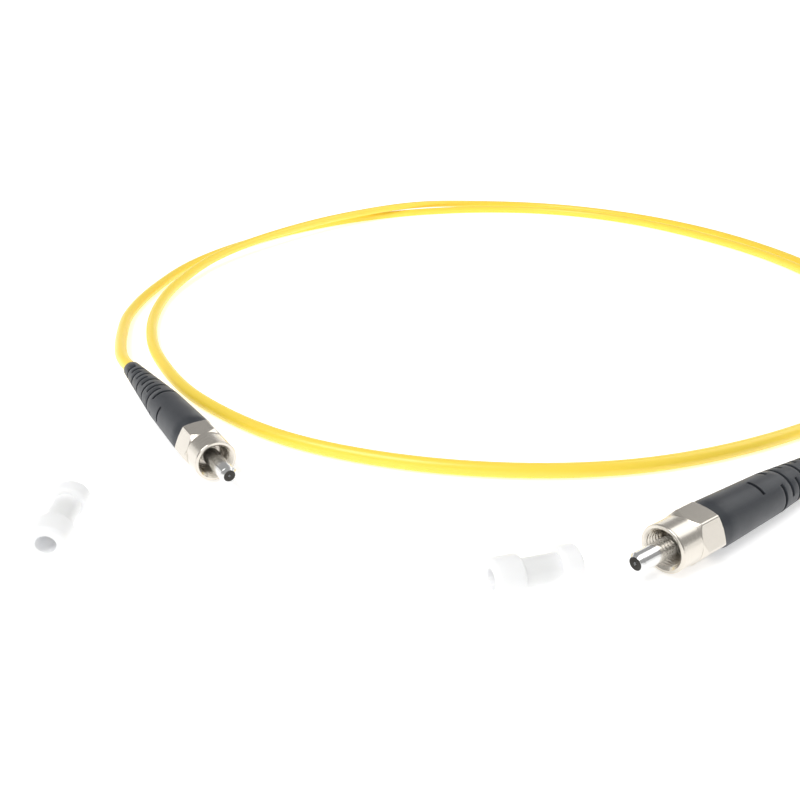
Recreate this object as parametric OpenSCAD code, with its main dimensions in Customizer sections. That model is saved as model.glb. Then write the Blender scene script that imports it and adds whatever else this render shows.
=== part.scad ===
// Simplex fibre patch cord with two threaded-nut ferrule connectors and their dust caps.
// Each connector has its own axis: +X runs out through the ferrule tip, and x = 0 is the
// front face of the ferrule flange. The whole cord lies on the plane z = 0.

/* [Ferrule] */
// Diameter of the ferrule
ferrule_d = 3.175; // [2.8:0.005:3.4]
// Ferrule length in front of its flange
ferrule_reach = 9.8; // [8:0.1:12]
// Diameter of the ferrule's stem in the connector body
seat_d = 2.6; // [2:0.1:2.8]
// Length of the ferrule's stem in the connector body
ferrule_seat = 5; // [3:0.1:6]
// Chamfer round the ferrule tip
tip_chamfer = 0.5; // [0.2:0.05:0.8]
// Diameter of the glass fibre
fibre_d = 0.44; // [0.3:0.02:0.6]
// Diameter of the plastic buffer over the fibre
buffer_d = 0.9; // [0.8:0.05:1.1]

/* [Connector body] */
// Diameter of the flange that the nut pulls on
flange_d = 5.4; // [5.2:0.1:5.6]
// Thickness of the flange
flange_t = 1.3; // [0.8:0.1:2]
// Diameter of the neck that the nut slides along
neck_d = 4.5; // [4.2:0.1:4.7]
// Length of the neck that runs on into the boot
neck_tail = 3.6; // [3:0.1:5]
// Diameter of the crimp stem
stem_d = 3.8; // [3.6:0.1:3.9]
// Length of the crimp stem
stem_len = 7; // [5:0.5:9]
// Height of the gripping rings on the crimp stem
stem_ridge = 0.15; // [0.05:0.05:0.25]
// Spacing of the gripping rings
stem_ridge_pitch = 1; // [0.7:0.1:1.5]

/* [Coupling nut] */
// Width of the hexagon across its flats
nut_af = 8.1; // [8:0.1:8.2]
// Length of the hexagon
nut_hex_len = 5.5; // [4.5:0.1:7]
// Diameter of the round collar at the front of the nut
collar_d = 8; // [7.2:0.1:8.1]
// Length of the round collar
collar_len = 4.6; // [2.5:0.1:5.5]
// Bore of the nut's thread
thread_bore_d = 5.8; // [5.7:0.05:6]
// Lead-in chamfer at the nut's mouth
mouth_chamfer = 0.5; // [0.2:0.05:0.7]
// Thickness of the lip at the back of the nut
lip_t = 1; // [0.8:0.1:1.5]
// Distance the nut slides forward before its ring meets the flange
nut_travel = 3.5; // [2:0.1:4]

/* [Retaining ring] */
// Thickness of the split ring
ring_t = 0.6; // [0.4:0.05:0.8]
// Outer diameter of the split ring
ring_d = 6.3; // [6.1:0.05:6.5]
// Angle left open in the split ring
ring_split = 30; // [10:5:60]

/* [Crimp sleeve] */
// Outer diameter of the crimp sleeve
sleeve_d = 5.2; // [4.9:0.1:5.6]
// Length of the sleeve over the cord jacket
sleeve_tail = 6.4; // [4:0.1:8]
// Thickness of the aramid yarn under the sleeve
yarn_t = 0.2; // [0.1:0.05:0.3]

/* [Boot] */
// Diameter of the boot's front face
boot_face_d = 7.5; // [7:0.1:7.8]
// Diameter of the boot just behind its front bevel
boot_front_d = 8.4; // [8.3:0.1:9]
// Diameter of the boot where its tail taper starts
boot_mid_d = 7.6; // [7:0.1:7.8]
// Diameter of the boot at its tail
boot_tail_d = 4.1; // [4:0.1:5.5]
// Length of the bevel at the front of the boot
boot_bevel = 1.9; // [0.5:0.1:2.5]
// Length of the gripping part behind the bevel
boot_grip_len = 16.5; // [15:0.5:18]
// Length of the slotted tail
boot_tail_len = 25.5; // [22:0.5:34]
// Wall left under the slots in the boot
slot_floor = 0.25; // [0.1:0.05:0.4]
// Width of the slots in the boot
slot_w = 0.7; // [0.4:0.1:1]
// Distance from one row of slots to the next
slot_pitch = 2.4; // [1.8:0.1:3]
// Distance from the boot's front face to the first row of slots
slot_start = 17.8; // [17:0.1:20]
// Plain length left at the tail behind the last row of slots
slot_end_gap = 3; // [2:0.5:6]
// Angle that each slot of a row covers
slot_angle = 135; // [90:5:150]
// Distance from the boot's front face to the short slot
short_slot_start = 12.4; // [8:0.1:15]
// Angle that the short slot covers
short_slot_angle = 50; // [30:5:90]

/* [Cord] */
// Outer diameter of the cord jacket
cord_d = 3; // [2.8:0.05:3.1]

/* [Dust cap] */
// Diameter of the two knobs
cap_knob_d = 6.4; // [5.8:0.1:7.5]
// Length of the open knob
cap_open_len = 4.7; // [3.5:0.1:7]
// Length of the closed knob
cap_closed_len = 3.3; // [2.5:0.1:6]
// Diameter of the waist
cap_waist_d = 4.6; // [4.2:0.1:5.4]
// Length of the waist
cap_waist_len = 6; // [4:0.1:7]
// Depth of the bore for the ferrule
cap_bore_depth = 9.5; // [8:0.5:10]
// Rounding of the knobs' edges
cap_round = 0.7; // [0.3:0.1:1.2]

/* [Layout] */
// Place of connector A's flange on the surface
place_a = [-45.9, -3.2];
// Heading of connector A's ferrule
heading_a = -55; // [-90:0.5:-30]
// Turn of connector A's boot about its axis
boot_turn_a = 66; // [-90:1:90]
// Place of connector B's flange on the surface
place_b = [33.6, -29.6];
// Heading of connector B's ferrule
heading_b = 214; // [180:0.5:240]
// Turn of connector B's boot about its axis
boot_turn_b = -10; // [-90:1:90]
// Place of dust cap A's middle
cap_place_a = [-66.5, -21.8];
// Heading of dust cap A's open end
cap_heading_a = -84; // [-180:1:0]
// Place of dust cap B's middle
cap_place_b = [10.6, -35];
// Heading of dust cap B's open end
cap_heading_b = 195; // [180:1:240]

/* [Clearances] */
// Radial clearance between pieces that are fixed together
seat_gap = 0.02; // [0.01:0.01:0.05]
// Radial clearance of the split ring on the neck and of the nut on the split ring
running_gap = 0.04; // [0.02:0.01:0.08]
// Clearance between end faces that meet or stop a slide
end_gap = 0.1; // [0.05:0.05:0.3]
// Space between the pushed-back nut and the boot
boot_gap = 0.3; // [0.2:0.1:0.6]
// Radial clearance of the jacket in the sleeve and the boot
cord_gap = 0.06; // [0.04:0.02:0.15]
// Radial clearance of the dust cap on the ferrule
cap_gap = 0.03; // [0.02:0.01:0.1]

/* [Hidden] */
$fn = 72;

// Stations along a connector's axis, from the tip back to the tail of the boot
groove_front = -flange_t - nut_travel - end_gap;
ring_back = groove_front - end_gap / 2 - ring_t;
lip_front = ring_back - end_gap / 2;
nut_back = lip_front - lip_t;
nut_front = nut_back + nut_hex_len + collar_len;
boot_front = nut_back - boot_gap;
neck_end = boot_front - neck_tail;
stem_end = neck_end - stem_len;
boot_wide = boot_front - boot_bevel;
boot_mid = boot_wide - boot_grip_len;
boot_end = boot_mid - boot_tail_len;
jacket_start = stem_end - end_gap;
sleeve_front = neck_end - end_gap;
sleeve_back = jacket_start - sleeve_tail;

// Bores and rims that follow the piece inside them
fibre_bore_d = fibre_d + 2 * seat_gap;
buffer_bore_d = buffer_d + 2 * seat_gap;
seat_bore_d = seat_d + 2 * seat_gap;
ring_bore_d = neck_d + 2 * running_gap;
groove_d = ring_d + 2 * running_gap;
lip_bore_d = ring_bore_d + 4 * running_gap;
yarn_bore_d = stem_d + 2 * stem_ridge + 2 * seat_gap;
yarn_d = yarn_bore_d + 2 * yarn_t;
sleeve_bore_d = yarn_d + 2 * seat_gap;
jacket_bore_d = cord_d + 2 * cord_gap;
boot_bore_d = sleeve_d + 2 * seat_gap;
nut_corner_d = nut_af / cos(30);
cap_len = cap_open_len + cap_waist_len + cap_closed_len;
first_slot = boot_front - slot_start;
slot_rows = 1 + floor((first_slot - boot_end - slot_end_gap) / slot_pitch);

// A connector lies on the conical grip of its boot, which tilts the axis a little
lie = atan((boot_front_d - boot_mid_d) / 2 / boot_grip_len);
wide_height = boot_front_d / 2 * cos(lie);

// A point on a connector's axis, in the frame of the whole cord
function on_axis(place, heading, x) = [
  place[0] + x * cos(lie) * cos(heading),
  place[1] + x * cos(lie) * sin(heading),
  wide_height + (x - boot_wide) * sin(lie)
];

// Route of the cord between the two boots: a loop of one turn and three quarters,
// whose second pass goes over the first in a long low hump and lies outside it at the back
loop_route = [
  [-81, 48, 2.8], [-87, 65, 1.9], [-91, 83, 1.5], [-91, 106, 1.5],
  [-86.5, 134, 1.5], [-75, 160.5, 1.5], [-55.5, 188, 1.5], [-29.5, 210.5, 1.5],
  [2.5, 226, 1.5], [37.5, 231, 1.5], [70.5, 224, 1.5], [99.5, 203, 1.5],
  [121.5, 170, 1.5], [133.5, 135, 1.5], [135, 95, 1.5], [122, 55, 1.5],
  [99.5, 27.5, 1.5], [69.5, 8.5, 1.5], [35.5, -3, 1.5], [1.5, -3.4, 1.5],
  [-30.5, 6.3, 1.5], [-55, 25, 1.5], [-71, 47.5, 1.5], [-79.8, 68, 1.5],
  [-84.3, 90, 1.6], [-83.8, 112, 2.4], [-77, 139.5, 3.6], [-60.5, 168.5, 4.6],
  [-35.5, 200, 4.8], [-2.5, 226, 4.6], [31.5, 239.5, 2.4], [66.5, 236.5, 1.5],
  [100.5, 214.5, 1.5], [124.5, 182.5, 1.5], [138, 143, 1.5], [140.5, 100, 1.5],
  [130.5, 58, 1.5], [111.5, 28, 1.6], [92.5, 10.5, 2.3]
];
route = concat(
  [on_axis(place_a, heading_a, boot_end)],
  loop_route,
  [on_axis(place_b, heading_b, boot_end)]
);
starts = [
  on_axis(place_a, heading_a, jacket_start),
  on_axis(place_b, heading_b, jacket_start)
];
spans = len(route) - 1;
span_rings = 2;
cord_sides = 8;

function unit(v) = v / norm(v);
// Direction of the route at a point: along the boot at either end
function tangent(i) =
  i == 0 ? unit(route[0] - starts[0]) * norm(route[1] - route[0])
  : i == spans ? unit(starts[1] - route[spans]) * norm(route[spans] - route[spans - 1])
  : (route[i + 1] - route[i - 1]) / 2;
// Point and direction at a share t of span i, on a cubic curve through the route's points
function curve_point(i, t) =
  (2 * pow(t, 3) - 3 * pow(t, 2) + 1) * route[i] + (pow(t, 3) - 2 * pow(t, 2) + t) * tangent(i)
  + (3 * pow(t, 2) - 2 * pow(t, 3)) * route[i + 1] + (pow(t, 3) - pow(t, 2)) * tangent(i + 1);
function curve_way(i, t) =
  6 * (pow(t, 2) - t) * (route[i] - route[i + 1])
  + (3 * pow(t, 2) - 4 * t + 1) * tangent(i) + (3 * pow(t, 2) - 2 * t) * tangent(i + 1);
function cord_ring(point, way) =
  let (across = unit(cross([0, 0, 1], way)), rise = cross(unit(way), across))
  [
    for (k = [0:cord_sides - 1])
      let (turn = 360 * (k + 0.5) / cord_sides)
      point + cord_d / 2 * (cos(turn) * across + sin(turn) * rise)
  ];

module tube(outer_d, inner_d, back, front) {
  translate([back, 0, 0]) rotate([0, 90, 0])
    difference() {
      cylinder(h = front - back, d = outer_d);
      translate([0, 0, -1]) cylinder(h = front - back + 2, d = inner_d);
    }
}

// Turns a profile of [station, radius] points round the connector's axis
module turned(profile) {
  rotate([0, 90, 0]) rotate_extrude() polygon([for (p = profile) [p[1], p[0]]]);
}

module place_connector(place, heading) {
  translate(on_axis(place, heading, 0)) rotate([0, -lie, heading]) children();
}

module place_cap(place, heading) {
  translate([place[0], place[1], cap_knob_d / 2]) rotate([0, 0, heading]) children();
}

// Ground steel ferrule with a chamfered tip, a fibre bore and a funnel at its back
module ferrule() {
  r = ferrule_d / 2;
  bore = fibre_bore_d / 2;
  color([0.78, 0.79, 0.8])
    turned([
      [-ferrule_seat, seat_d / 2], [seat_gap, seat_d / 2], [seat_gap, r], [ferrule_reach - tip_chamfer, r],
      [ferrule_reach, r - tip_chamfer], [ferrule_reach, bore],
      [bore - ferrule_seat + tip_chamfer, bore], [-ferrule_seat, tip_chamfer + 2 * bore]
    ]);
}

module fibre() {
  color([0.85, 0.9, 0.95])
    translate([jacket_start + end_gap, 0, 0]) rotate([0, 90, 0])
      cylinder(h = ferrule_reach - jacket_start - end_gap, d = fibre_d);
}

module buffer() {
  color([0.95, 0.95, 0.9]) tube(buffer_d, fibre_bore_d, jacket_start + end_gap, -ferrule_seat - end_gap);
}

// Turned body: flange in front, neck under the nut, ringed crimp stem at the back
module connector_body() {
  bore = buffer_bore_d / 2;
  seat = seat_bore_d / 2;
  bevel = 0.2;
  ridges = floor(stem_len / stem_ridge_pitch);
  color([0.72, 0.7, 0.66]) {
    turned([
      [stem_end, bore], [stem_end, stem_d / 2], [neck_end, stem_d / 2],
      [neck_end, neck_d / 2 - bevel], [neck_end + bevel, neck_d / 2],
      [-flange_t, neck_d / 2], [-flange_t, flange_d / 2 - bevel],
      [-flange_t + bevel, flange_d / 2], [-bevel, flange_d / 2],
      [0, flange_d / 2 - bevel], [0, seat], [-ferrule_seat, seat], [-ferrule_seat, bore]
    ]);
    for (i = [0:ridges - 1])
      let (x = stem_end + (i + 0.5) * stem_ridge_pitch)
      turned([
        [x - 0.3, stem_d / 2 - 0.1], [x - 0.3, stem_d / 2], [x, stem_d / 2 + stem_ridge],
        [x + 0.3, stem_d / 2], [x + 0.3, stem_d / 2 - 0.1]
      ]);
  }
}

// Split ring that rides in the nut's groove and slides along the neck
module retaining_ring() {
  color([0.6, 0.6, 0.6])
    difference() {
      tube(ring_d, ring_bore_d, ring_back, ring_back + ring_t);
      translate([ring_back - 1, 0, 0]) rotate([90, 0, 90])
        linear_extrude(ring_t + 2)
          polygon([[0, 0], for (s = [-1, 1]) 2 * ring_d * [s * sin(ring_split / 2), cos(ring_split / 2)]]);
    }
}

// Hexagonal nut with bevelled corners, a round collar and a threaded mouth
module coupling_nut() {
  flat = nut_af / 2;
  corner = nut_corner_d / 2;
  hex_front = nut_front - collar_len;
  corner_bevel = 1.1;
  edge = 0.3;
  mouth = thread_bore_d / 2 + mouth_chamfer;
  color([0.77, 0.74, 0.68])
    difference() {
      union() {
        intersection() {
          translate([nut_back, 0, 0]) rotate([30, 0, 0]) rotate([0, 90, 0])
            cylinder(h = nut_hex_len + collar_len, d = nut_corner_d, $fn = 6);
          turned([
            [nut_back, 0], [nut_back, flat - edge], [nut_back + edge + 0.2, corner],
            [hex_front - corner_bevel + 0.3, corner], [hex_front + 0.3, flat - edge], [hex_front + 0.3, 0]
          ]);
        }
        turned([
          [hex_front - 1, 0], [hex_front - 1, collar_d / 2], [nut_front - edge, collar_d / 2],
          [nut_front, collar_d / 2 - edge], [nut_front, 0]
        ]);
      }
      turned([
        [nut_back - 1, 0], [nut_back - 1, lip_bore_d / 2], [lip_front, lip_bore_d / 2],
        [lip_front, groove_d / 2], [groove_front, groove_d / 2], [groove_front, thread_bore_d / 2],
        [nut_front - mouth_chamfer, thread_bore_d / 2], [nut_front, mouth],
        [nut_front + 1, mouth], [nut_front + 1, 0]
      ]);
    }
}

module aramid_yarn() {
  color([0.93, 0.85, 0.45]) tube(yarn_d, yarn_bore_d, stem_end, sleeve_front);
}

// Sleeve crimped over the yarn in front and over the cord jacket behind
module crimp_sleeve() {
  r = sleeve_d / 2;
  step = jacket_start + end_gap / 2;
  color([0.8, 0.78, 0.7])
    turned([
      [sleeve_back, jacket_bore_d / 2], [sleeve_back, r - 0.2], [sleeve_back + 0.2, r],
      [sleeve_front, r], [sleeve_front, sleeve_bore_d / 2],
      [step, sleeve_bore_d / 2], [step, jacket_bore_d / 2]
    ]);
}

// A slot cut through the boot's wall, covering an angle centred on a direction
module boot_slot(x, angle, direction) {
  translate([x - slot_w / 2, 0, 0]) rotate([0, 90, 0])
    rotate([0, 0, direction - angle / 2])
      rotate_extrude(angle = angle)
        translate([jacket_bore_d / 2 + slot_floor, 0]) square([boot_front_d, slot_w]);
}

// Strain-relief boot: bevelled face, conical grip with a short slot on top, slotted tail
module boot() {
  tail_round = 0.5;
  seat_end = sleeve_back - end_gap;
  color([0.16, 0.17, 0.19])
    difference() {
      turned([
        [boot_front, 0], [boot_front, boot_face_d / 2], [boot_wide, boot_front_d / 2],
        [boot_mid, boot_mid_d / 2], [boot_end + tail_round, boot_tail_d / 2],
        [boot_end, boot_tail_d / 2 - tail_round / 2], [boot_end, 0]
      ]);
      turned([
        [boot_front + 1, 0], [boot_front + 1, boot_bore_d / 2], [seat_end, boot_bore_d / 2],
        [seat_end, jacket_bore_d / 2], [boot_end - 1, jacket_bore_d / 2], [boot_end - 1, 0]
      ]);
      boot_slot(boot_front - short_slot_start, short_slot_angle, 180);
      for (row = [0:slot_rows - 1], side = [90, 270])
        boot_slot(first_slot - row * slot_pitch, slot_angle, side + 90 * (row % 2));
    }
}

// Jacketed cord: one tube swept along the route, from inside one boot to inside the other
module cord_jacket() {
  rings = concat(
    [cord_ring(starts[0], tangent(0))],
    [for (i = [0:spans - 1], k = [0:span_rings - 1])
      cord_ring(curve_point(i, k / span_rings), curve_way(i, k / span_rings))],
    [cord_ring(route[spans], tangent(spans)), cord_ring(starts[1], tangent(spans))]
  );
  walls = [
    for (i = [0:len(rings) - 2], k = [0:cord_sides - 1])
      let (next = (k + 1) % cord_sides, ring = i * cord_sides)
      [ring + k, ring + next, ring + next + cord_sides, ring + k + cord_sides]
  ];
  near_end = [for (k = [1:cord_sides]) cord_sides - k];
  far_end = [for (k = [0:cord_sides - 1]) (len(rings) - 1) * cord_sides + k];
  color([0.98, 0.8, 0.15])
    polyhedron([for (ring = rings, p = ring) p], concat([near_end], walls, [far_end]));
}

// Dumbbell cap: a knob at each end of a waist, bored from its open end for the ferrule
module dust_cap() {
  knob = cap_knob_d / 2;
  waist = cap_waist_d / 2;
  bore = ferrule_d / 2 + cap_gap;
  front = cap_len / 2;
  open_end = front - cap_open_len;
  closed_end = cap_closed_len - front;
  color([0.96, 0.97, 0.98])
    difference() {
      rotate([0, 90, 0])
        rotate_extrude() {
          for (k = [[-front, cap_closed_len], [open_end, cap_open_len]])
            translate([0, k[0]]) {
              square([knob - cap_round, k[1]]);
              translate([0, cap_round]) square([knob, k[1] - 2 * cap_round]);
              for (y = [cap_round, k[1] - cap_round])
                translate([knob - cap_round, y]) circle(r = cap_round, $fn = 32);
            }
          translate([0, closed_end - 1]) square([waist, open_end - closed_end + 2]);
        }
      translate([front - cap_bore_depth, 0, 0]) rotate([0, 90, 0])
        cylinder(h = cap_bore_depth + 1, r = bore);
    }
}

place_connector(place_a, heading_a) ferrule();  // ferrule_a
place_connector(place_a, heading_a) fibre();  // fibre_a
place_connector(place_a, heading_a) buffer();  // buffer_a
place_connector(place_a, heading_a) connector_body();  // connector_body_a
place_connector(place_a, heading_a) retaining_ring();  // retaining_ring_a
place_connector(place_a, heading_a) coupling_nut();  // coupling_nut_a
place_connector(place_a, heading_a) aramid_yarn();  // aramid_yarn_a
place_connector(place_a, heading_a) crimp_sleeve();  // crimp_sleeve_a
place_connector(place_a, heading_a) rotate([boot_turn_a, 0, 0]) boot();  // boot_a
place_connector(place_b, heading_b) ferrule();  // ferrule_b
place_connector(place_b, heading_b) fibre();  // fibre_b
place_connector(place_b, heading_b) buffer();  // buffer_b
place_connector(place_b, heading_b) connector_body();  // connector_body_b
place_connector(place_b, heading_b) retaining_ring();  // retaining_ring_b
place_connector(place_b, heading_b) coupling_nut();  // coupling_nut_b
place_connector(place_b, heading_b) aramid_yarn();  // aramid_yarn_b
place_connector(place_b, heading_b) crimp_sleeve();  // crimp_sleeve_b
place_connector(place_b, heading_b) rotate([boot_turn_b, 0, 0]) boot();  // boot_b
cord_jacket();
place_cap(cap_place_a, cap_heading_a) dust_cap();  // dust_cap_a
place_cap(cap_place_b, cap_heading_b) dust_cap();  // dust_cap_b
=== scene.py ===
import math
import bmesh
import bpy
import numpy as np
from mathutils import Matrix, Vector


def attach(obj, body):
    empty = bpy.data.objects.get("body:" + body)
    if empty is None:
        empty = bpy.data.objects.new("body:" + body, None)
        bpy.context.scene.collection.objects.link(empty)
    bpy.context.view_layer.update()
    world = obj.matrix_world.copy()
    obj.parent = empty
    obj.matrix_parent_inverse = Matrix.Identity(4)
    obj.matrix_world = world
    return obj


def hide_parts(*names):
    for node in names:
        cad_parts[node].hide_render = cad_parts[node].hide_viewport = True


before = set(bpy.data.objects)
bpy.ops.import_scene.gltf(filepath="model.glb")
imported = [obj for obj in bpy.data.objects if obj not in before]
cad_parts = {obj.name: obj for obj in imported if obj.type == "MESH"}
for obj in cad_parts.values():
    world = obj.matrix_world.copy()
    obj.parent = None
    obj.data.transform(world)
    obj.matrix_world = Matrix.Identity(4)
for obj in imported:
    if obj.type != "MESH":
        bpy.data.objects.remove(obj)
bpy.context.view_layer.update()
mm = 0.001

cameraSettings = {"place": (-9.65, -117.15, 73.9), "downTilt": 26.98, "lens": 31.5, "sensor": 36,
                  "near": 0.005, "far": 20}
cameraData = bpy.data.cameras.new("deskCamera")
cameraData.lens = cameraSettings["lens"]
cameraData.sensor_width = cameraSettings["sensor"]
cameraData.clip_start = cameraSettings["near"]
cameraData.clip_end = cameraSettings["far"]
deskCamera = bpy.data.objects.new("deskCamera", cameraData)
deskCamera.location = [v * mm for v in cameraSettings["place"]]
deskCamera.rotation_euler = (math.radians(90 - cameraSettings["downTilt"]), 0, 0)
bpy.context.scene.collection.objects.link(deskCamera)
bpy.context.scene.camera = deskCamera
print("camera placed")

# where each connector's flange stands, the heading of its tip and the roll of its boot, as in the part's source
connectors = {
    "a": {"place": (-45.9, -3.2), "heading": -55, "bootTurn": 66},
    "b": {"place": (33.6, -29.6), "heading": 214, "bootTurn": -10},
}
bootSizes = {"wide": 8.4, "mid": 7.6, "grip": 16.5, "front": -6.9, "bevel": 1.9, "tail": -50.8}
lie = math.atan((bootSizes["wide"] - bootSizes["mid"]) / 2 / bootSizes["grip"])


def connectorMatrix(side):
    # the connector's own frame, +X out through its tip, as a 4x4 in metres
    c = connectors[side]
    height = bootSizes["wide"] / 2 * math.cos(lie) - (bootSizes["front"] - bootSizes["bevel"]) * math.sin(lie)
    move = Matrix.Translation((c["place"][0] * mm, c["place"][1] * mm, height * mm))
    return move @ Matrix.Rotation(math.radians(c["heading"]), 4, "Z") @ Matrix.Rotation(-lie, 4, "Y")


def intoRow(side, points):
    # connector millimetres to row metres
    m = np.array(connectorMatrix(side))
    return np.asarray(points) * mm @ m[:3, :3].T + m[:3, 3]


def gridMesh(name, grid, material, closeAlong=False, capEnds=False):
    # grid is (along, around, 3) in metres; faces join each ring of points to the next
    along, around = grid.shape[:2]
    i = np.arange(along if closeAlong else along - 1)[:, None]
    k = np.arange(around)[None, :]
    nextI, nextK = (i + 1) % along, (k + 1) % around
    corners = [i * around + k, i * around + nextK, nextI * around + nextK, nextI * around + k]
    faces = np.stack(corners, -1).reshape(-1, 4).tolist()
    mesh = bpy.data.meshes.new(name)
    if capEnds:
        faces += [list(range(around))[::-1], list(range((along - 1) * around, along * around))]
    mesh.from_pydata(grid.reshape(-1, 3).tolist(), [], faces)
    mesh.polygons.foreach_set("use_smooth", np.ones(len(mesh.polygons), bool))
    mesh.materials.append(material)
    mesh.update()
    piece = bpy.data.objects.new(name, mesh)
    bpy.context.scene.collection.objects.link(piece)
    return piece


cordSettings = {"thickness": 3.0, "sides": 32, "stepsPerSpan": 10, "insideBoot": 8.0,
                "lastInside": 0.5, "insideRows": 8}
loopRoute = [
    (-81, 48, 2.8), (-87, 65, 1.9), (-91, 83, 1.5), (-91, 106, 1.5),
    (-86.5, 134, 1.5), (-75, 160.5, 1.5), (-55.5, 188, 1.5), (-29.5, 210.5, 1.5),
    (2.5, 226, 1.5), (37.5, 231, 1.5), (70.5, 224, 1.5), (99.5, 203, 1.5),
    (121.5, 170, 1.5), (133.5, 135, 1.5), (135, 95, 1.5), (122, 55, 1.5),
    (99.5, 27.5, 1.5), (69.5, 8.5, 1.5), (35.5, -3, 1.5), (1.5, -3.4, 1.5),
    (-30.5, 6.3, 1.5), (-55, 25, 1.5), (-71, 47.5, 1.5), (-79.8, 68, 1.5),
    (-84.3, 90, 1.6), (-83.8, 112, 2.4), (-77, 139.5, 3.6), (-60.5, 168.5, 4.6),
    (-35.5, 200, 4.8), (-2.5, 226, 4.6), (31.5, 239.5, 2.4), (66.5, 236.5, 1.5),
    (100.5, 214.5, 1.5), (124.5, 182.5, 1.5), (138, 143, 1.5), (140.5, 100, 1.5),
    (130.5, 58, 1.5), (111.5, 28, 1.6), (92.5, 10.5, 2.3),
]


def smoothLine(points, first, last, steps):
    # a cubic curve through the points whose direction at each one runs from the point before to the point after
    p = np.asarray(points, float)
    way = np.empty_like(p)
    way[1:-1] = (p[2:] - p[:-2]) / 2
    way[0] = first * np.linalg.norm(p[1] - p[0])
    way[-1] = last * np.linalg.norm(p[-1] - p[-2])
    t = np.linspace(0, 1, steps, endpoint=False)[None, :, None]
    a, b, u, w = p[:-1, None], p[1:, None], way[:-1, None], way[1:, None]
    curve = ((2 * t**3 - 3 * t**2 + 1) * a + (t**3 - 2 * t**2 + t) * u
             + (3 * t**2 - 2 * t**3) * b + (t**3 - t**2) * w)
    return np.vstack([curve.reshape(-1, 3), p[-1:]])


def tubeAlong(line, radius, sides):
    # a circle of the given radius carried along the line, square to its direction, with its first side level
    way = np.gradient(line, axis=0)
    way /= np.linalg.norm(way, axis=1, keepdims=True)
    across = np.cross([0.0, 0.0, 1.0], way)
    across /= np.linalg.norm(across, axis=1, keepdims=True)
    rise = np.cross(way, across)
    turn = np.linspace(0, 2 * np.pi, sides, endpoint=False)[None, :, None]
    return line[:, None] + radius * (np.cos(turn) * across[:, None] + np.sin(turn) * rise[:, None])


def axisPoints(side, stations):
    # points on a connector's axis, in row metres
    return intoRow(side, np.multiply.outer(stations, [1.0, 0.0, 0.0]))


tail = bootSizes["tail"]
exitA, exitB = axisPoints("a", tail), axisPoints("b", tail)
wayA = (axisPoints("a", tail - 1) - exitA) / mm
wayB = (exitB - axisPoints("b", tail - 1)) / mm
route = np.vstack([exitA[None], np.array(loopRoute) * mm, exitB[None]])
cordLine = smoothLine(route, wayA, wayB, cordSettings["stepsPerSpan"])
inside = np.linspace(cordSettings["insideBoot"], cordSettings["lastInside"], cordSettings["insideRows"])
cordLine = np.vstack([axisPoints("a", tail + inside), cordLine, axisPoints("b", tail + inside[::-1])])
cordLine[:, 2] = np.maximum(cordLine[:, 2], cordSettings["thickness"] / 2 * mm)


def link(tree, out, into):
    tree.links.new(out, into)


def nodeGroup(name, inputs, outputs):
    # an empty shader node group with named sockets: inputs are (name, kind, default), outputs are (name, kind)
    group = bpy.data.node_groups.new(name, "ShaderNodeTree")
    for label, kind, default in inputs:
        socket = group.interface.new_socket(name=label, in_out="INPUT", socket_type="NodeSocket" + kind)
        if default is not None:
            socket.default_value = default
    for label, kind in outputs:
        group.interface.new_socket(name=label, in_out="OUTPUT", socket_type="NodeSocket" + kind)
    start = group.nodes.new("NodeGroupInput")
    end = group.nodes.new("NodeGroupOutput")
    return group, start, end


def colorAndGloss(group, start, end, noise, contrast, dark):
    # one noise mixes the group's two colours and moves the roughness about its set value
    n = group.nodes
    amount = n.new("ShaderNodeMath")
    amount.operation = "MULTIPLY"
    link(group, noise, amount.inputs[0])
    link(group, start.outputs[contrast], amount.inputs[1])
    mix = n.new("ShaderNodeMix")
    mix.data_type = "RGBA"
    # the mix node's colours are its inputs 6 and 7 and its output 2
    link(group, amount.outputs[0], mix.inputs[0])
    link(group, start.outputs["Color"], mix.inputs[6])
    link(group, start.outputs[dark], mix.inputs[7])
    link(group, mix.outputs[2], end.inputs["Color"])
    centred = n.new("ShaderNodeMath")
    centred.operation = "SUBTRACT"
    centred.inputs[1].default_value = 0.5
    link(group, noise, centred.inputs[0])
    spread = n.new("ShaderNodeMath")
    spread.operation = "MULTIPLY_ADD"
    link(group, centred.outputs[0], spread.inputs[0])
    link(group, start.outputs["Roughness Spread"], spread.inputs[1])
    link(group, start.outputs["Roughness"], spread.inputs[2])
    link(group, spread.outputs[0], end.inputs["Roughness"])


def speckleGroup():
    # soft mottling and fine grain: two noises mixed into a colour, a roughness and a height
    group, start, end = nodeGroup(
        "speckle",
        [("Vector", "Vector", None), ("Color", "Color", (1, 1, 1, 1)), ("Dark", "Color", (0, 0, 0, 1)),
         ("Mottle Scale", "Float", 300), ("Grain Scale", "Float", 4000), ("Mottle", "Float", 0.3),
         ("Roughness", "Float", 0.4), ("Roughness Spread", "Float", 0.1)],
        [("Color", "Color"), ("Roughness", "Float"), ("Height", "Float")])
    n = group.nodes
    broad = n.new("ShaderNodeTexNoise")
    broad.inputs["Detail"].default_value = 3
    fine = n.new("ShaderNodeTexNoise")
    fine.inputs["Detail"].default_value = 2
    link(group, start.outputs["Vector"], broad.inputs["Vector"])
    link(group, start.outputs["Vector"], fine.inputs["Vector"])
    link(group, start.outputs["Mottle Scale"], broad.inputs["Scale"])
    link(group, start.outputs["Grain Scale"], fine.inputs["Scale"])
    colorAndGloss(group, start, end, broad.outputs["Fac"], "Mottle", "Dark")
    link(group, fine.outputs["Fac"], end.inputs["Height"])
    return group


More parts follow.
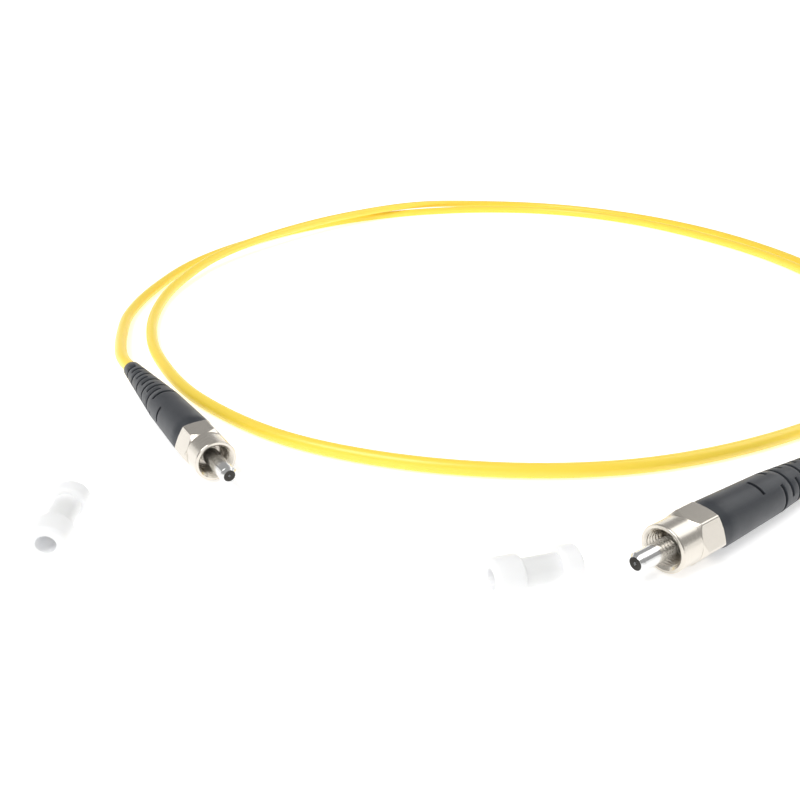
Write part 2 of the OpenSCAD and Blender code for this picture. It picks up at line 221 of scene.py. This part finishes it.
def turnedGroup():
    # fine lathe rings about the connector's axis: noise read on station minus radius,
    # so that faces square to the axis get them too
    group, start, end = nodeGroup(
        "turnedRings",
        [("Axis Point", "Vector", None), ("Rings per Metre", "Float", 9000), ("Color", "Color", (1, 1, 1, 1)),
         ("Dull Color", "Color", (0, 0, 0, 1)), ("Ring Contrast", "Float", 0.3), ("Roughness", "Float", 0.25),
         ("Roughness Spread", "Float", 0.15)],
        [("Color", "Color"), ("Roughness", "Float"), ("Height", "Float")])
    n = group.nodes
    parts = n.new("ShaderNodeSeparateXYZ")
    link(group, start.outputs["Axis Point"], parts.inputs[0])
    flat = n.new("ShaderNodeCombineXYZ")
    link(group, parts.outputs["Y"], flat.inputs["Y"])
    link(group, parts.outputs["Z"], flat.inputs["Z"])
    radius = n.new("ShaderNodeVectorMath")
    radius.operation = "LENGTH"
    link(group, flat.outputs[0], radius.inputs[0])
    along = n.new("ShaderNodeMath")
    along.operation = "SUBTRACT"
    link(group, parts.outputs["X"], along.inputs[0])
    link(group, radius.outputs["Value"], along.inputs[1])
    rings = n.new("ShaderNodeTexNoise")
    rings.noise_dimensions = "1D"
    rings.inputs["Detail"].default_value = 4
    rings.inputs["Roughness"].default_value = 0.65
    link(group, along.outputs[0], rings.inputs["W"])
    link(group, start.outputs["Rings per Metre"], rings.inputs["Scale"])
    colorAndGloss(group, start, end, rings.outputs["Fac"], "Ring Contrast", "Dull Color")
    link(group, rings.outputs["Fac"], end.inputs["Height"])
    return group


speckle = speckleGroup()
turnedRings = turnedGroup()


def startMaterial(name, **sockets):
    material = bpy.data.materials.new(name)
    material.use_nodes = True
    tree = material.node_tree
    shader = tree.nodes["Principled BSDF"]
    for label, value in sockets.items():
        shader.inputs[label.replace("_", " ")].default_value = value
    place = tree.nodes.new("ShaderNodeTexCoord")
    return material, tree, shader, place.outputs["Object"]


def addBump(tree, shader, height, distance):
    bump = tree.nodes.new("ShaderNodeBump")
    bump.inputs["Distance"].default_value = distance
    bump.inputs["Strength"].default_value = 1
    link(tree, height, bump.inputs["Height"])
    link(tree, bump.outputs["Normal"], shader.inputs["Normal"])


def speckledMaterial(name, look, **sockets):
    # plastics and rubber: mottled colour, uneven gloss and a fine moulded grain
    material, tree, shader, where = startMaterial(name, **sockets)
    group = tree.nodes.new("ShaderNodeGroup")
    group.node_tree = speckle
    link(tree, where, group.inputs["Vector"])
    group.inputs["Color"].default_value = (*look["color"], 1)
    group.inputs["Dark"].default_value = (*look["dark"], 1)
    group.inputs["Mottle Scale"].default_value = look["mottleScale"]
    group.inputs["Grain Scale"].default_value = look["grainScale"]
    group.inputs["Mottle"].default_value = look["mottle"]
    group.inputs["Roughness"].default_value = look["roughness"]
    group.inputs["Roughness Spread"].default_value = look["roughnessSpread"]
    link(tree, group.outputs["Color"], shader.inputs["Base Color"])
    link(tree, group.outputs["Roughness"], shader.inputs["Roughness"])
    addBump(tree, shader, group.outputs["Height"], look["grainHeight"] * mm)
    return material


def turnedMetal(name, look, side, **sockets):
    # plated or ground metal with lathe rings about its connector's axis
    material, tree, shader, where = startMaterial(name, Metallic=1, **sockets)
    frameOf = connectorMatrix(side)
    onAxis = tree.nodes.new("ShaderNodeMapping")
    onAxis.vector_type = "TEXTURE"
    onAxis.inputs["Location"].default_value = frameOf.translation
    onAxis.inputs["Rotation"].default_value = frameOf.to_euler()
    link(tree, where, onAxis.inputs["Vector"])
    group = tree.nodes.new("ShaderNodeGroup")
    group.node_tree = turnedRings
    link(tree, onAxis.outputs["Vector"], group.inputs["Axis Point"])
    group.inputs["Rings per Metre"].default_value = look["rings"]
    group.inputs["Color"].default_value = (*look["color"], 1)
    group.inputs["Dull Color"].default_value = (*look["dull"], 1)
    group.inputs["Ring Contrast"].default_value = look["contrast"]
    group.inputs["Roughness"].default_value = look["roughness"]
    group.inputs["Roughness Spread"].default_value = look["roughnessSpread"]
    link(tree, group.outputs["Color"], shader.inputs["Base Color"])
    link(tree, group.outputs["Roughness"], shader.inputs["Roughness"])
    addBump(tree, shader, group.outputs["Height"], look["ringHeight"] * mm)
    return material


jacketLook = {"color": (1.0, 0.745, 0.075), "dark": (0.96, 0.66, 0.045), "mottleScale": 60, "grainScale": 2600,
              "mottle": 0.35, "roughness": 0.36, "roughnessSpread": 0.12, "grainHeight": 0.012}
bootLook = {"color": (0.036, 0.04, 0.047), "dark": (0.018, 0.02, 0.025), "mottleScale": 220, "grainScale": 5200,
            "mottle": 0.6, "roughness": 0.43, "roughnessSpread": 0.16, "grainHeight": 0.02}
capLook = {"color": (0.97, 0.975, 0.98), "dark": (0.92, 0.93, 0.94), "mottleScale": 140, "grainScale": 3000,
           "mottle": 0.3, "roughness": 0.38, "roughnessSpread": 0.14, "grainHeight": 0.01}
bufferLook = {"color": (0.88, 0.88, 0.84), "dark": (0.75, 0.75, 0.7), "mottleScale": 300, "grainScale": 4000,
              "mottle": 0.3, "roughness": 0.45, "roughnessSpread": 0.1, "grainHeight": 0.01}
yarnLook = {"color": (0.8, 0.62, 0.2), "dark": (0.5, 0.36, 0.08), "mottleScale": 900, "grainScale": 7000,
            "mottle": 0.8, "roughness": 0.8, "roughnessSpread": 0.1, "grainHeight": 0.05}
nutLook = {"rings": 9000, "color": (0.76, 0.72, 0.65), "dull": (0.4, 0.35, 0.29), "contrast": 0.42,
           "roughness": 0.24, "roughnessSpread": 0.16, "ringHeight": 0.0012}
bodyLook = {"rings": 12000, "color": (0.62, 0.58, 0.52), "dull": (0.45, 0.41, 0.36), "contrast": 0.4,
            "roughness": 0.2, "roughnessSpread": 0.18, "ringHeight": 0.0018}
ferruleLook = {"rings": 16000, "color": (0.78, 0.78, 0.77), "dull": (0.5, 0.5, 0.5), "contrast": 0.3,
               "roughness": 0.17, "roughnessSpread": 0.12, "ringHeight": 0.0008}
springLook = {"rings": 8000, "color": (0.5, 0.5, 0.49), "dull": (0.25, 0.25, 0.25), "contrast": 0.4,
              "roughness": 0.35, "roughnessSpread": 0.15, "ringHeight": 0.001}
# the ferrule's polished end face: its near-black colour is a painted dark reflection, not the steel's own colour; the
# fine rings and low roughness are its polish
polishedPaintedReflectionLook = {"rings": 30000, "color": (0.06, 0.056, 0.052), "dull": (0.02, 0.02, 0.02), "contrast": 0.5,
              "roughness": 0.1, "roughnessSpread": 0.06, "ringHeight": 0.0003}

jacket = speckledMaterial("yellowJacket", jacketLook, Coat_Weight=0.25, Coat_Roughness=0.25,
                          Subsurface_Weight=0.08, Subsurface_Radius=(0.002, 0.0012, 0.0003), Subsurface_Scale=1.0)
bootRubber = speckledMaterial("bootRubber", bootLook, Specular_IOR_Level=0.45)
# the cap's faint white emission is a painted glow that brightens the cap as if lit; its subsurface and transmission
# are the plastic's own
capPlasticPaintedGlow = speckledMaterial("capPlasticPaintedGlow", capLook, Subsurface_Weight=0.5, Subsurface_Radius=(0.004, 0.004, 0.0045),
                              Subsurface_Scale=1.0, Transmission_Weight=0.12, IOR=1.5,
                              Emission_Color=(1, 1, 1, 1), Emission_Strength=0.02)
bufferPlastic = speckledMaterial("bufferPlastic", bufferLook)
aramid = speckledMaterial("aramidYarn", yarnLook)
fibreGlass = startMaterial("fibreGlass", Base_Color=(0.95, 0.97, 1, 1), Roughness=0.05,
                           Transmission_Weight=0.9, IOR=1.46)[0]
print("materials made")

cordTube = tubeAlong(cordLine, cordSettings["thickness"] / 2 * mm, cordSettings["sides"])
cord = gridMesh("yellowCord", cordTube, jacket, capEnds=True)
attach(cord, "patch_cord")
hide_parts("cord_jacket")


edgeSettings = {"segments": 2, "sharp": math.radians(28), "merge": 2e-6, "metal": 0.04, "rubber": 0.07, "cap": 0.12}


def softCopy(node, body, material, width):
    # a merged copy of a CAD solid whose sharp edges are rounded a little, so that they catch the light
    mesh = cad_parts[node].data.copy()
    piece = bpy.data.objects.new(node + "_dressed", mesh)
    bpy.context.scene.collection.objects.link(piece)
    work = bmesh.new()
    work.from_mesh(mesh)
    bmesh.ops.remove_doubles(work, verts=work.verts, dist=edgeSettings["merge"])
    work.to_mesh(mesh)
    work.free()
    mesh.materials.clear()
    mesh.materials.append(material)
    bevel = piece.modifiers.new("edges", "BEVEL")
    bevel.width = width * mm
    bevel.segments = edgeSettings["segments"]
    bevel.limit_method = "ANGLE"
    bevel.angle_limit = edgeSettings["sharp"]
    bevel.use_clamp_overlap = True
    mesh.polygons.foreach_set("use_smooth", np.ones(len(mesh.polygons), bool))
    mesh.set_sharp_from_angle(angle=edgeSettings["sharp"])
    weighted = piece.modifiers.new("faces", "WEIGHTED_NORMAL")
    weighted.keep_sharp = True
    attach(piece, body)
    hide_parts(node)
    return piece


nutSizes = {"acrossFlats": 8.1, "hexLength": 5.5, "collar": 8.0, "collarLength": 4.6, "threadBore": 5.8,
            "mouthChamfer": 0.5, "rear": -6.6, "lip": 1.0, "lipBore": 4.74, "groove": 6.38,
            "grooveFront": -4.9, "edge": 0.3,
            "threadDepth": 0.26, "threadPitch": 0.7056, "rowsPerPitch": 10, "around": 240, "cornerCut": 0.06,
            "rearBevel": 0.5, "frontBevel": 1.1, "bevelPast": 0.3, "collarStart": 0.5, "edgeFall": 0.7,
            "crestSlope": 1.35, "crestCut": 0.12, "runOutStart": 0.25, "runOut": 0.5, "smooth": math.radians(32)}


def nutGrid():
    # a closed section (station, radius) carried round the axis: outside, the smaller of a hexagon and a bevel cone,
    # and in the mouth a triangular thread that moves one pitch along the axis for each turn
    s = nutSizes
    hexFront = s["rear"] + s["hexLength"]
    front = s["rear"] + s["hexLength"] + s["collarLength"]
    flat = s["acrossFlats"] / 2
    corner = flat / math.cos(math.pi / 6)
    turn = np.linspace(0, 2 * np.pi, s["around"], endpoint=False)
    offset = (turn + np.pi / 6) % (np.pi / 3) - np.pi / 6
    hexagon = np.minimum(flat / np.cos(offset), corner - s["cornerCut"])
    outside = np.concatenate([
        s["rear"] + np.array([0, 0.03, 0.08, 0.16, 0.24, 0.32, 0.4, 0.5, 0.62]),
        np.linspace(s["rear"] + 0.8, hexFront - 1.1, 10),
        np.linspace(hexFront - 0.95, hexFront + 0.1, 22),
        np.linspace(hexFront + 0.2, front - s["edge"] - 0.04, 8),
        front - s["edge"] * np.array([1.0, 0.75, 0.5, 0.25, 0.1, 0.0])])
    rise = corner - flat + s["edge"]
    bevelRear = flat - s["edge"] + (outside - s["rear"]) / s["rearBevel"] * rise
    bevelFront = flat - s["edge"] + (hexFront + s["bevelPast"] - outside) / s["frontBevel"] * rise
    collar = np.where(outside > hexFront - s["collarStart"], s["collar"] / 2, 0)
    fall = np.clip((outside - (front - s["edge"])) / s["edge"], 0, 1)
    collar = collar - s["edge"] * s["edgeFall"] * (1 - np.sqrt(np.clip(1 - fall**2, 0, 1)))
    cone = np.minimum(bevelRear, bevelFront)
    outer = np.maximum(np.minimum(hexagon[None, :], cone[:, None]), collar[:, None])
    mouthR = s["threadBore"] / 2 + s["mouthChamfer"]
    threadRows = np.arange(front - 0.16, s["grooveFront"], -s["threadPitch"] / s["rowsPerPitch"])
    inside = np.concatenate([front - np.array([0, 0.06, 0.12]), threadRows])
    inside = np.concatenate([inside[inside > s["grooveFront"] + 0.03], [s["grooveFront"]]])
    phase = (inside[:, None] / s["threadPitch"] - turn[None, :] / (2 * np.pi)) % 1
    tooth = np.clip(s["crestSlope"] * (1 - np.abs(2 * phase - 1)) - s["crestCut"], 0, 1)
    runOut = np.clip((inside - s["grooveFront"] - s["runOutStart"]) / s["runOut"], 0, 1)[:, None]
    threaded = s["threadBore"] / 2 + s["threadDepth"] * tooth * runOut
    funnel = mouthR - (front - inside)[:, None]
    inner = np.maximum(threaded, funnel)
    lipFront, lipR = s["rear"] + s["lip"], s["lipBore"] / 2
    back = np.array([
        (s["grooveFront"], s["groove"] / 2), (lipFront, s["groove"] / 2), (lipFront, lipR + 0.1),
        (lipFront - 0.1, lipR), (s["rear"] + 0.12, lipR), (s["rear"], lipR + 0.12)])
    x = np.repeat(np.concatenate([outside, inside, back[:, 0]])[:, None], s["around"], 1)
    r = np.vstack([outer, inner, np.repeat(back[:, 1:], s["around"], 1)])
    return np.stack([x, r * np.sin(turn), r * np.cos(turn)], -1)


def makeNut(side):
    nickel = turnedMetal("nutNickel" + side.upper(), nutLook, side)
    grid = nutGrid()
    placed = intoRow(side, grid.reshape(-1, 3)).reshape(grid.shape)
    nut = gridMesh("couplingNut_" + side, placed, nickel, closeAlong=True)
    nut.data.set_sharp_from_angle(angle=nutSizes["smooth"])
    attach(nut, "nut_" + side)
    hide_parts("coupling_nut_" + side)


endFaceLimits = {"facing": 0.98, "station": 9.7}


def makeConnector(side):
    tag = side.upper()
    body = turnedMetal("bodyNickel" + tag, bodyLook, side)
    steel = turnedMetal("ferruleSteel" + tag, ferruleLook, side)
    spring = turnedMetal("springSteel" + tag, springLook, side)
    polishedPaintedReflection = turnedMetal("polishedEndPaintedReflection" + tag, polishedPaintedReflectionLook, side)
    ferrule = softCopy("ferrule_" + side, "patch_cord", steel, edgeSettings["metal"])
    tip = connectorMatrix(side)
    normals = np.empty(len(ferrule.data.polygons) * 3)
    ferrule.data.polygons.foreach_get("normal", normals)
    centres = np.empty(len(ferrule.data.polygons) * 3)
    ferrule.data.polygons.foreach_get("center", centres)
    forward = np.array(tip)[:3, 0]
    station = (centres.reshape(-1, 3) - np.array(tip.translation)) @ forward
    # faces square to the axis at the ferrule's front get the material whose near-black colour is a painted dark
    # reflection
    facing = normals.reshape(-1, 3) @ forward > endFaceLimits["facing"]
    endFace = facing & (station > endFaceLimits["station"] * mm)
    ferrule.data.materials.append(polishedPaintedReflection)
    ferrule.data.polygons.foreach_set("material_index", endFace.astype(np.int32))
    softCopy("connector_body_" + side, "patch_cord", body, edgeSettings["metal"])
    softCopy("retaining_ring_" + side, "ring_" + side, spring, edgeSettings["metal"])
    softCopy("crimp_sleeve_" + side, "patch_cord", body, edgeSettings["metal"])
    softCopy("boot_" + side, "patch_cord", bootRubber, edgeSettings["rubber"])
    for node, material in (("fibre_", fibreGlass), ("buffer_", bufferPlastic), ("aramid_yarn_", aramid)):
        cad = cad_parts[node + side]
        cad.data.materials.clear()
        cad.data.materials.append(material)
    makeNut(side)


for side in connectors:
    makeConnector(side)
    softCopy("dust_cap_" + side, "patch_cord", capPlasticPaintedGlow, edgeSettings["cap"])
    print("connector", side, "dressed")

sweepSettings = {"flat": 1.3, "curve": 0.3, "wall": 0.05, "bendRows": 12, "around": 96,
                 "flatRows": (0.0, 0.3, 0.8),
                 "color": (0.93, 0.93, 0.93), "glow": 0.46}


def makeSweep():
    # a round pale floor whose rim curves up into a wall: a profile turned about the vertical
    s = sweepSettings
    bend = np.linspace(0, np.pi / 2, s["bendRows"])
    radius = np.concatenate([s["flatRows"], s["flat"] + s["curve"] * np.sin(bend), [s["flat"] + s["curve"]]])
    height = np.concatenate([np.zeros(len(s["flatRows"])), s["curve"] * (1 - np.cos(bend)), [s["curve"] + s["wall"]]])
    turn = np.linspace(0, 2 * np.pi, s["around"], endpoint=False)
    rise = np.repeat(height[:, None], s["around"], 1)
    grid = np.stack([radius[:, None] * np.cos(turn), radius[:, None] * np.sin(turn), rise], -1)
    pale = startMaterial("paleFloor", Base_Color=(*s["color"], 1), Roughness=0.9,
                         Emission_Color=(1, 1, 1, 1), Emission_Strength=s["glow"])[0]
    floor = gridMesh("paleFloor", grid, pale)
    floor.data.flip_normals()


makeSweep()

worldSettings = {"color": (1, 1, 1, 1), "strength": 0.42}
world = bpy.data.worlds.new("studio")
bpy.context.scene.world = world
world.use_nodes = True
background = world.node_tree.nodes["Background"]
background.inputs["Color"].default_value = worldSettings["color"]
background.inputs["Strength"].default_value = worldSettings["strength"]

softboxes = [
    {"name": "keySoftbox", "place": (-0.35, -0.25, 0.75), "aim": (0, 0.05, 0), "size": 0.5, "power": 4.6},
    {"name": "fillSoftbox", "place": (0.6, 0.35, 0.6), "aim": (0, 0.05, 0), "size": 0.6, "power": 1.6},
]
for box in softboxes:
    data = bpy.data.lights.new(box["name"], "AREA")
    data.size = box["size"]
    data.energy = box["power"]
    lamp = bpy.data.objects.new(box["name"], data)
    direction = Vector(box["aim"]) - Vector(box["place"])
    lamp.rotation_euler = direction.to_track_quat("-Z", "Y").to_euler()
    lamp.location = box["place"]
    bpy.context.scene.collection.objects.link(lamp)
bpy.context.scene.view_settings.view_transform = "Standard"
print("stage and lights set")
